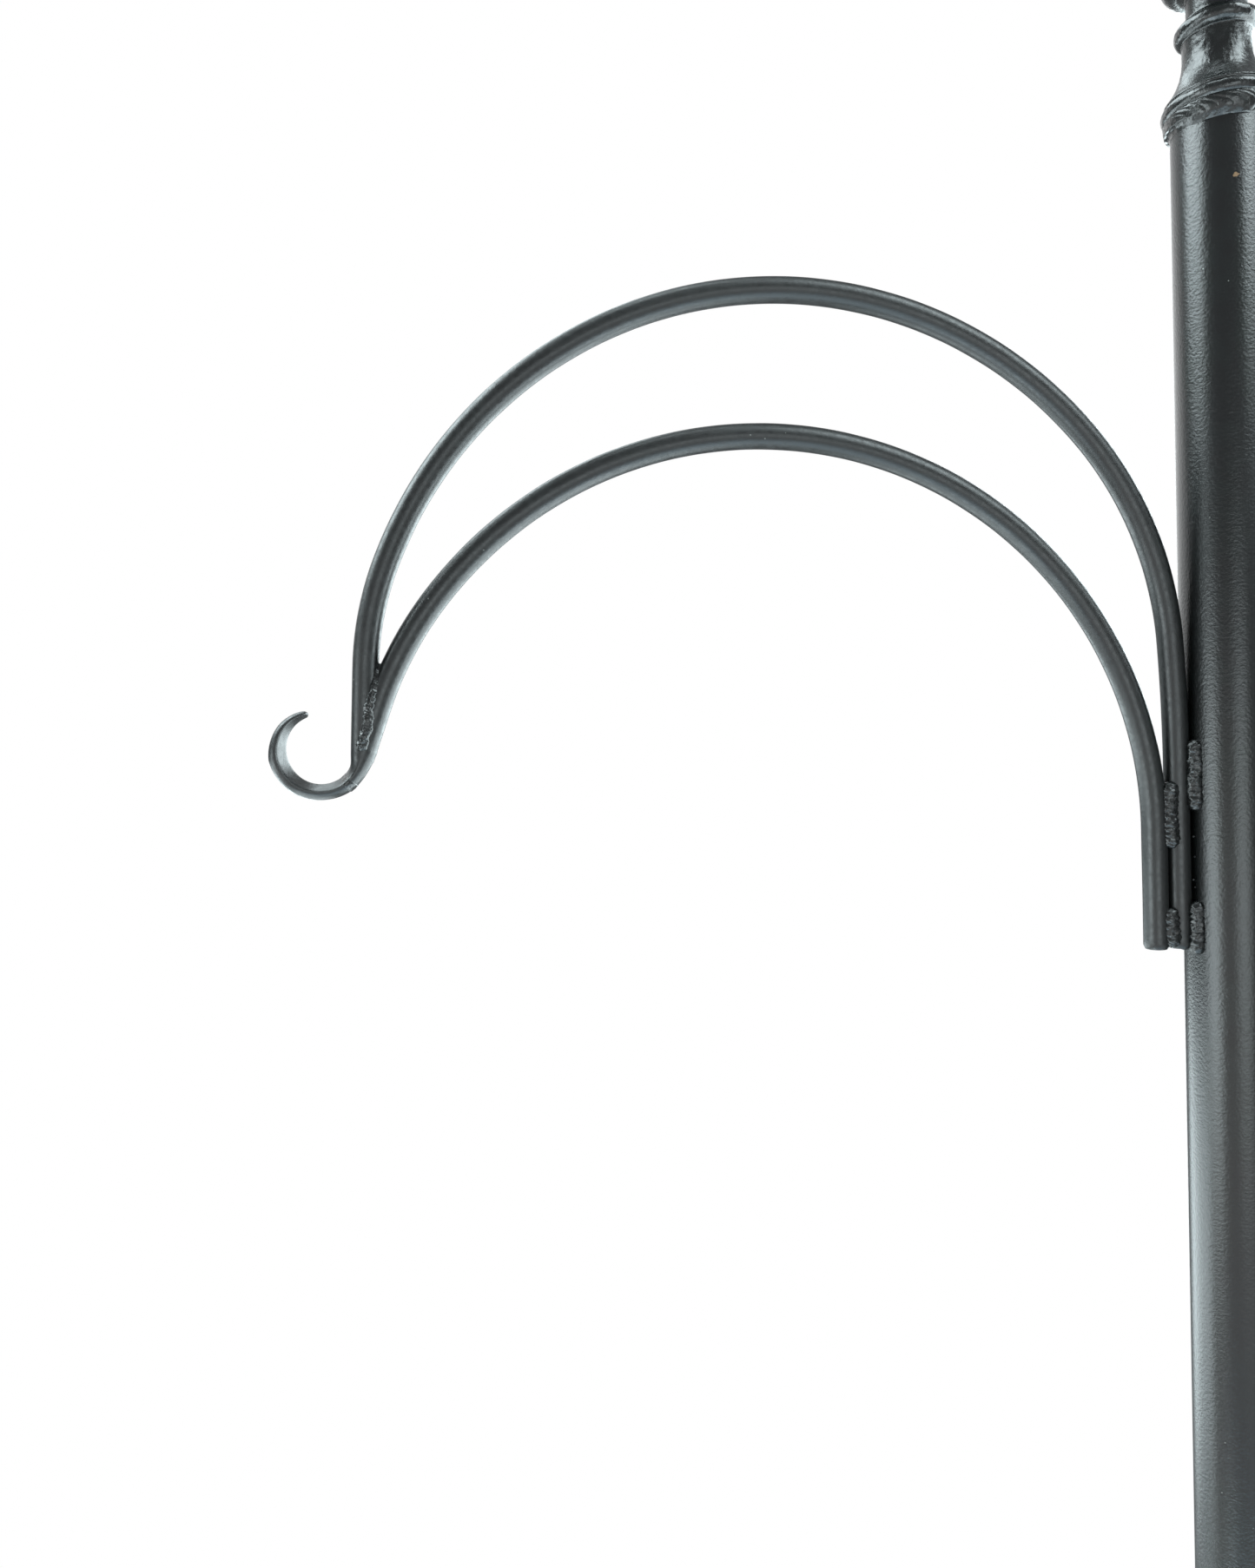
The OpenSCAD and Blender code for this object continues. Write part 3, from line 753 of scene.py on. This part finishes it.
def lock_nuts():
    """Hexagon nuts with chamfered corners and a chamfered bore, welded to the socket."""
    solid = Solid()
    angle = np.linspace(0, 2 * np.pi, 120, endpoint=False)
    corner = NUT_ACROSS / 2
    hexagon = corner * math.cos(math.pi / 6) / np.cos((angle % (math.pi / 3)) - math.pi / 6)
    chamfer = (hexagon - corner * math.cos(math.pi / 6)) * 0.5
    bore = SCREW_R + 0.1
    rows = ((bore, NUT_IN), (hexagon, NUT_IN), (hexagon, NUT_OUT - 0.3 - chamfer),
            (hexagon - 0.3, NUT_OUT - chamfer), (corner * 0.84, NUT_OUT),
            (bore + 0.7, NUT_OUT), (bore, NUT_OUT - 0.7))
    grid = np.stack([np.stack([r * np.cos(angle), r * np.sin(angle), 0 * angle + z], -1) for r, z in rows])
    for side in (-1, 1):
        solid.rings(outward(side)(grid.reshape(-1, 3))[0].reshape(grid.shape), loop=True)
    return solid.object("lock_nuts", sharp=30)


def lock_screw(side):
    """A wing screw: a threaded shank, a boss and two wings."""
    name = "lock_screw_left" if side < 0 else "lock_screw_right"
    tip = POLE_R + 0.1
    boss = tip + SHANK_LEN
    z = np.arange(tip, boss + 0.5, 0.125)
    angle = np.linspace(0, 2 * np.pi, 48, endpoint=False)
    turn = (z[:, None] / THREAD_PITCH + angle[None] / (2 * np.pi)) % 1.0
    groove = THREAD_DEPTH * np.clip(1.15 - 2.6 * np.abs(turn - 0.5), 0, 1)
    r = (SCREW_R - groove) * np.clip(0.78 + (z - tip) * 0.2, 0, 1)[:, None]
    shank = np.stack([r * np.cos(angle), r * np.sin(angle), np.broadcast_to(z[:, None], r.shape)], -1)
    solid = Solid().rings(shank)
    head = [(0.4, boss), (6.5, boss), (6.2, boss + 5), (5.2, boss + 8), (0.4, boss + 8)]
    head = eased(head, 0.8, False, 5)
    solid.rings(turned(head, 64))
    for wing in (-1, 1):
        solid.rings(wing_rings(wing, boss))
    return solid.object(name, outward(side), 45)


def wing_rings(wing, boss):
    """One wing: an oval bar that rises from the boss and swells to a flat rounded ear."""
    t = np.linspace(0, 1, 44)
    reach = 3.5 + 17.3 * t
    rise = boss + 3.6 + 6.2 * smooth_step(t, 0.1, 0.75)
    ear = np.sqrt(np.clip(1 - ((t - 0.72) / 0.28).clip(0, 1) ** 2.2, 0.004, 1))
    tall = (2.6 + 3.3 * smooth_step(t, 0.15, 0.7)) * ear
    thick = 2.0 * np.sqrt(np.clip(1 - ((t - 0.85) / 0.15).clip(0, 1) ** 2, 0.02, 1))
    b = np.linspace(0, 2 * np.pi, 36, endpoint=False)
    path = np.stack([0 * t, wing * reach, rise], -1)
    oval = np.sign(np.cos(b)) * np.abs(np.cos(b)) ** 0.8
    section = np.stack([oval * tall[:, None], np.sin(b) * thick[:, None]], -1)
    return sweep(path, (1, 0, 0), section)


# ---------- materials ----------

def new_material(name):
    material = bpy.data.materials.new(name)
    material.use_nodes = True
    tree = material.node_tree
    tree.nodes.clear()
    return material, tree


def add(tree, kind, inputs=(), **settings):
    """A node with its settings and its inputs, which are values or other nodes' outputs."""
    node = tree.nodes.new(kind)
    for key, value in settings.items():
        setattr(node, key, value)
    for key, value in dict(inputs).items():
        if isinstance(value, bpy.types.NodeSocket):
            tree.links.new(value, node.inputs[key])
        else:
            node.inputs[key].default_value = value
    return node


def blobs(tree, place, size, detail=2.0, rough=0.5):
    """Noise from 0 to 1 with features of about size, in millimetres."""
    inputs = {"Vector": place, "Scale": 1 / (size * MM), "Detail": detail, "Roughness": rough}
    return add(tree, "ShaderNodeTexNoise", inputs).outputs[0]


def remap(tree, value, from0, from1, to0, to1, smooth=True):
    """A value carried from one range to another, and held at its ends."""
    kind = "SMOOTHSTEP" if smooth else "LINEAR"
    inputs = {0: value, 1: from0, 2: from1, 3: to0, 4: to1}
    return add(tree, "ShaderNodeMapRange", inputs, interpolation_type=kind).outputs[0]


def maths(tree, operation, *values):
    """A sum or other operation on values or other nodes' outputs."""
    return add(tree, "ShaderNodeMath", dict(enumerate(values)), operation=operation).outputs[0]


def vector_maths(tree, operation, *values, scale=None):
    """The same for vectors and colours. It gives the node, which has more than one output."""
    inputs = dict(enumerate(values))
    if scale is not None:
        inputs["Scale"] = scale
    return add(tree, "ShaderNodeVectorMath", inputs, operation=operation)


def mix_colour(tree, factor, a, b):
    """Colour a where factor is 0, and b where it is 1."""
    node = add(tree, "ShaderNodeMix", {"Factor": factor}, data_type="RGBA")
    for socket, value in ((node.inputs[6], a), (node.inputs[7], b)):
        if isinstance(value, bpy.types.NodeSocket):
            tree.links.new(value, socket)
        else:
            socket.default_value = (*value, 1)
    return node.outputs[2]


def raised(tree, height, distance, strength, under=None):
    """A bump whose height is in millimetres, on top of another bump if one is given."""
    inputs = {"Height": height, "Distance": distance * MM, "Strength": strength}
    if under is not None:
        inputs["Normal"] = under
    return add(tree, "ShaderNodeBump", inputs).outputs[0]


def dots(tree, place, spacing, radius, share):
    """A mask of small scattered spots: 1 inside them. Only some of the cells have one."""
    inputs = {"Vector": place, "Scale": 1 / (spacing * MM), "Randomness": 1.0}
    cells = add(tree, "ShaderNodeTexVoronoi", inputs)
    near = remap(tree, cells.outputs["Distance"], radius / spacing, 0.6 * radius / spacing, 0, 1)
    channel = add(tree, "ShaderNodeSeparateColor", {0: cells.outputs["Color"]}).outputs[0]
    return maths(tree, "MULTIPLY", near, maths(tree, "LESS_THAN", channel, share))


# The first colour is for painted glints: pale specks that stand for light catching the orange peel, not
# marks in the coat. The others are the pinholes' and the bare chip's.
PAINTED_GLINT_COLOUR, PIT_COLOUR, CHIP_COLOUR = (0.16, 0.17, 0.16), (0.004, 0.004, 0.004), (0.20, 0.12, 0.055)


def coat(name, dark, light, roughness, peel, pebble=0.0, chip=None):
    """Black powder coat: orange peel, uneven gloss, pinholes, and painted glints: pale specks in the colour
    that stand for light catching the peel.
    """
    material, tree = new_material(name)
    place = add(tree, "ShaderNodeTexCoord").outputs["Object"]
    colour = mix_colour(tree, remap(tree, blobs(tree, place, 9.0), 0.35, 0.65, 0, 1), dark, light)
    # Painted glints: scattered pale specks in the colour, standing for light catching the orange peel
    painted_glints = dots(tree, place, spacing=7.0, radius=0.28, share=0.35)
    colour = mix_colour(tree, painted_glints, colour, PAINTED_GLINT_COLOUR)
    pits = dots(tree, place, spacing=11.0, radius=0.4, share=0.3)
    colour = mix_colour(tree, pits, colour, PIT_COLOUR)
    fine_peel = blobs(tree, place, 1.1, detail=3.0, rough=0.6)
    wide_peel = blobs(tree, place, 4.5, detail=1.0)
    normal = raised(tree, fine_peel, distance=0.14, strength=peel)
    normal = raised(tree, wide_peel, distance=0.10, strength=0.35 * peel, under=normal)
    if pebble:
        sand = blobs(tree, place, 1.0, detail=3.0, rough=0.6)
        normal = raised(tree, sand, distance=0.15, strength=pebble, under=normal)
    normal = raised(tree, pits, distance=0.12, strength=-0.6, under=normal)
    gloss = remap(tree, blobs(tree, place, 2.2), 0.3, 0.7, roughness - 0.05, roughness + 0.06)
    if chip:
        spot = chip_mask(tree, place, chip)
        colour = mix_colour(tree, spot, colour, CHIP_COLOUR)
        normal = raised(tree, spot, distance=0.10, strength=-0.8, under=normal)
        gloss = remap(tree, spot, 0, 1, roughness, 0.7, False)
    shader = add(tree, "ShaderNodeBsdfPrincipled", {
        "Base Color": colour, "Roughness": gloss, "Normal": normal, "IOR": 1.6})
    add(tree, "ShaderNodeOutputMaterial", {0: shader.outputs[0]})
    return material


def chip_mask(tree, place, chip):
    """One small ragged chip in the coat, at a point given in millimetres."""
    radius, noise_size, shift = 1.0, 0.8, 2.2
    ragged = vector_maths(tree, "SCALE", blobs_vector(tree, place, noise_size), scale=shift * MM).outputs[0]
    moved = vector_maths(tree, "ADD", place, ragged).outputs[0]
    centre = tuple((c + shift / 2) * MM for c in chip)
    away = vector_maths(tree, "DISTANCE", moved, centre).outputs["Value"]
    return remap(tree, away, radius * MM, 0.75 * radius * MM, 0, 1)


def blobs_vector(tree, place, size):
    """Noise from 0 to 1 in each of three directions."""
    return add(tree, "ShaderNodeTexNoise", {"Vector": place, "Scale": 1 / (size * MM)}).outputs["Color"]


def zinc():
    """Bright zinc plate: cloudy crystals, fine scratches and a slightly yellow tint in places."""
    material, tree = new_material("zinc_plate")
    place = add(tree, "ShaderNodeTexCoord").outputs["Object"]
    cloud = blobs(tree, place, 2.5, 4.0, 0.6)
    colour = mix_colour(tree, remap(tree, cloud, 0.35, 0.65, 0, 1), (0.56, 0.57, 0.58), (0.68, 0.67, 0.62))
    dirt = remap(tree, blobs(tree, place, 5.0, 3.0), 0.55, 0.75, 0, 0.5)
    colour = mix_colour(tree, dirt, colour, (0.22, 0.21, 0.19))
    gloss = remap(tree, blobs(tree, place, 1.2, 3.0), 0.3, 0.7, 0.26, 0.42)
    normal = raised(tree, blobs(tree, place, 0.5, 3.0), distance=0.02, strength=0.4)
    shader = add(tree, "ShaderNodeBsdfPrincipled", {
        "Base Color": colour, "Roughness": gloss, "Normal": normal, "Metallic": 1.0})
    add(tree, "ShaderNodeOutputMaterial", {0: shader.outputs[0]})
    return material


def plastic():
    """Moulded black plastic with a fine grain."""
    material, tree = new_material("black_plastic")
    place = add(tree, "ShaderNodeTexCoord").outputs["Object"]
    colour = mix_colour(tree, blobs(tree, place, 6.0), (0.012, 0.012, 0.013), (0.022, 0.022, 0.022))
    gloss = remap(tree, blobs(tree, place, 1.5), 0.3, 0.7, 0.42, 0.55)
    normal = raised(tree, blobs(tree, place, 0.35, 2.0), distance=0.03, strength=0.5)
    shader = add(tree, "ShaderNodeBsdfPrincipled", {
        "Base Color": colour, "Roughness": gloss, "Normal": normal})
    add(tree, "ShaderNodeOutputMaterial", {0: shader.outputs[0]})
    return material


FLOOR_HALF = 1300.0
FLOOR_COLOURS = (0.395, 0.362, 0.353), (0.403, 0.369, 0.360)


def floor_material():
    """Pale matt ground with a faint large mottle."""
    material, tree = new_material("floor")
    place = add(tree, "ShaderNodeTexCoord").outputs["Object"]
    colour = mix_colour(tree, blobs(tree, place, 400.0), *FLOOR_COLOURS)
    shader = add(tree, "ShaderNodeBsdfPrincipled", {"Base Color": colour, "Roughness": 0.9})
    add(tree, "ShaderNodeOutputMaterial", {0: shader.outputs[0]})
    return material


# ---------- studio ----------

# The camera's place in millimetres, its turns in degrees and its lens in millimetres
CAMERA_PLACE = (-275.7, -418.7, ARM_Z + 94.3)
CAMERA_PITCH, CAMERA_ROLL, CAMERA_YAW = -2.72, -2.36, -5.21
CAMERA_LENS = 25.80


def camera():
    data = bpy.data.cameras.new("camera")
    data.lens = CAMERA_LENS
    data.clip_start = 0.02
    obj = bpy.data.objects.new("camera", data)
    bpy.context.scene.collection.objects.link(obj)
    turns = ((CAMERA_YAW, "Z"), (90 + CAMERA_PITCH, "X"), (CAMERA_ROLL, "Z"))
    yaw, pitch, roll = (Matrix.Rotation(math.radians(angle), 4, axis) for angle, axis in turns)
    turn = yaw @ pitch @ roll
    obj.matrix_world = Matrix.Translation(Vector(CAMERA_PLACE) * MM) @ turn
    bpy.context.scene.camera = obj


# Each soft light: its direction (degrees round from -Y towards +X, degrees up), its half sizes and the
# width of its soft edge in degrees, its power, which can be below 0 for a dim patch, and its tint
COOL, BLUISH, NEUTRAL = (0.84, 0.97, 1.0), (0.85, 1.1, 1.25), (1.0, 1.0, 1.0)
SOFT_LIGHTS = (
    ((-60, 88), (130, 9), 8, 7.0, COOL),
    ((-100, 44), (23, 18), 6, 9.0, COOL),
    ((-152, 49), (30, 11), 6, 4.0, COOL),
    ((50, 46), (19, 18), 8, 7.4, COOL),
    ((-74, -7), (16, 11.5), 6, 5.2, COOL),
    ((-131, -22), (37, 9.5), 7, 5.6, COOL),
    ((-1, -4), (15, 10), 6, 2.7, COOL),
    ((-30, -8), (52, 15), 10, 0.6, NEUTRAL),
    ((-30, -27), (75, 8), 8, 0.6, NEUTRAL),
    ((112, -1), (42, 26), 8, 8.0, COOL),
    ((98, -50), (38, 20), 10, 6.0, COOL),
    ((5, -62), (70, 20), 8, 2.0, BLUISH),
    ((-115, -54), (70, 9), 12, 4.2, COOL),
    ((-120, -76), (90, 14), 20, 3.0, COOL),
    ((-135, -1), (30, 7), 5, -0.25, NEUTRAL),
)

# The light that comes from everywhere, and the extra light from behind the object: the angles up over
# which it comes on and over which it dims, and what is left of it above them
ROOM, BACKDROP = (0.30, 0.32, 0.33), 1.2
RISES, DIMS, DIMMED = (1, 7), (18, 30), 0.4


def studio_world():
    """Soft lights round the object for its gloss, and a white background for the camera."""
    world = bpy.data.worlds.new("studio")
    world.use_nodes = True
    tree = world.node_tree
    tree.nodes.clear()
    direction = add(tree, "ShaderNodeTexCoord").outputs["Generated"]
    axes = add(tree, "ShaderNodeSeparateXYZ", {0: direction}).outputs
    azimuth = maths(tree, "ARCTAN2", axes[0], maths(tree, "MULTIPLY", axes[1], -1.0))
    height = maths(tree, "ARCSINE", axes[2])
    behind = remap(tree, axes[1], 0.55, 0.85, 0, BACKDROP)
    level = remap(tree, height, math.radians(RISES[0]), math.radians(RISES[1]), 0, 1)
    high_up = remap(tree, height, math.radians(DIMS[0]), math.radians(DIMS[1]), 1.0, DIMMED)
    behind = maths(tree, "MULTIPLY", behind, maths(tree, "MULTIPLY", level, high_up))
    light = vector_maths(tree, "SCALE", NEUTRAL, scale=behind).outputs[0]
    light = vector_maths(tree, "ADD", light, ROOM).outputs[0]
    for middle, half, soft, power, tint in SOFT_LIGHTS:
        window = power
        for angle, centre, size in ((azimuth, middle[0], half[0]), (height, middle[1], half[1])):
            away = maths(tree, "ABSOLUTE", maths(tree, "SUBTRACT", angle, math.radians(centre)))
            outer, inner = math.radians(size + soft / 2), math.radians(size - soft / 2)
            window = maths(tree, "MULTIPLY", window, remap(tree, away, outer, inner, 0, 1))
        glow = vector_maths(tree, "SCALE", tint, scale=window).outputs[0]
        light = vector_maths(tree, "ADD", light, glow).outputs[0]
    lit = add(tree, "ShaderNodeBackground", {"Color": light})
    white = add(tree, "ShaderNodeBackground", {"Color": (1, 1, 1, 1)})
    seen = add(tree, "ShaderNodeLightPath").outputs["Is Camera Ray"]
    both = add(tree, "ShaderNodeMixShader", {0: seen, 1: lit.outputs[0], 2: white.outputs[0]})
    add(tree, "ShaderNodeOutputWorld", {0: both.outputs[0]})
    bpy.context.scene.world = world


def floor():
    """Ground under the base, which the gloss does not mirror."""
    half = FLOOR_HALF * MM
    mesh = bpy.data.meshes.new("floor")
    corners = [(x * half, y * half, 0) for x, y in ((-1, -1), (1, -1), (1, 1), (-1, 1))]
    mesh.from_pydata(corners, [], [(0, 1, 2, 3)])
    obj = bpy.data.objects.new("floor", mesh)
    bpy.context.scene.collection.objects.link(obj)
    obj.data.materials.append(floor_material())
    obj.visible_glossy = False


# ---------- putting it together ----------

# The bare chip in the coat below the finial, and the two tints that the coat wanders between
CHIP = (-4.0, -16.2, TOP_Z - 27.8)
BLACK, GREENISH = (0.0026, 0.003, 0.003), (0.0034, 0.0046, 0.0044)
FINISHES = {
    "powder_coat": coat("powder_coat", BLACK, GREENISH, 0.25, 1.0, chip=CHIP),
    "coated_bar": coat("coated_bar", BLACK, GREENISH, 0.38, 0.5),
    "coated_casting": coat("coated_casting", BLACK, GREENISH, 0.23, 0.7, pebble=0.4),
    "coated_weld": coat("coated_weld", BLACK, GREENISH, 0.27, 0.7, pebble=0.3),
    "zinc_steel": zinc(),
    "black_plastic": plastic(),
}
BODY_OF = {node: body for body, nodes in frame["record"]["behaviour"]["bodies"].items() for node in nodes}
SLOT_OF = {part["node"]: part["material_slot"] for part in frame["record"]["subparts"]}


def stands_for(piece, node):
    """The piece takes the place, body and finish of the CAD node."""
    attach(piece, BODY_OF[node])
    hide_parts(node)
    piece.data.materials.append(FINISHES[SLOT_OF[node]])


for make in (base_plate, socket_tube, socket_weld, gusset_welds, socket_gussets, lock_nuts,
             lower_pole_tube, foot_plug, upper_pole_tube, finial_casting, finial_weld):
    made = make()
    made.name = "shown_" + made.name
    stands_for(made, make.__name__)
for side in (-1, 1):
    node = "lock_screw_left" if side < 0 else "lock_screw_right"
    made = lock_screw(side)
    made.name = "shown_" + node
    stands_for(made, node)
    for make in (upper_rod, lower_rod, hook, hook_weld, tip_weld, rod_welds, pole_welds):
        made = make(side)
        made.name = "shown_" + arm_name(side, make.__name__)
        stands_for(made, arm_name(side, make.__name__))

floor()
studio_world()
camera()
bpy.context.scene.view_settings.view_transform = "Standard"
